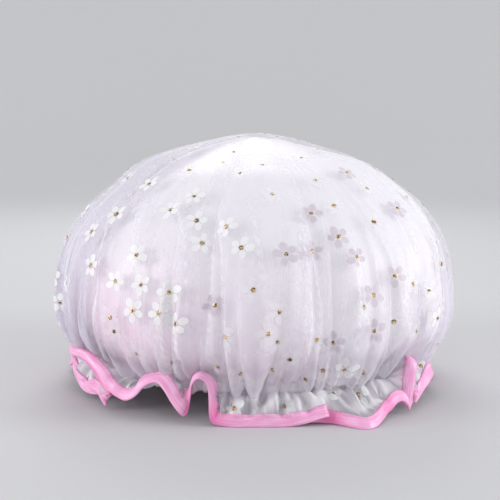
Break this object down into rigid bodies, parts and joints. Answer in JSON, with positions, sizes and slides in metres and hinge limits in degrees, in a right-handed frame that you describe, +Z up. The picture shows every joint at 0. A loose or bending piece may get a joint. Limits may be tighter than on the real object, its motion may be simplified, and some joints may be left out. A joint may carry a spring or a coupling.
{
  "type": "shower cap",
  "caption": "Puffed shower cap standing mouth down: sheer printed cover over a waterproof lining, gathered on an elastic, with a wavy ruffle edged in satin tape.",
  "frame": {"origin": "under the middle of the cap, on the plane that its ruffle stands on", "axes": "+Z up to the apex of the crown, the mouth facing down; -Y towards the front, +X to the right as seen from the front"},
  "size_m": [0.2826, 0.2814, 0.174],
  "materials": {
    "organza": "sheer crisp organza with a fine weave and a soft shine",
    "lining_film": "soft milky waterproof film",
    "elastic": "braided white elastic",
    "casing_tape": "plain woven white tape",
    "white_thread": "spun thread",
    "satin_binding": "glossy pink satin",
    "pink_thread": "spun thread"
  },
  "bodies": {
    "root": {"organza_cover": "organza", "waterproof_lining": "lining_film", "elastic_band": "elastic", "elastic_casing_tape": "casing_tape", "casing_stitch_upper": "white_thread", "casing_stitch_lower": "white_thread", "hem_binding": "satin_binding", "binding_stitch": "pink_thread"}
  },
  "joints": []
}
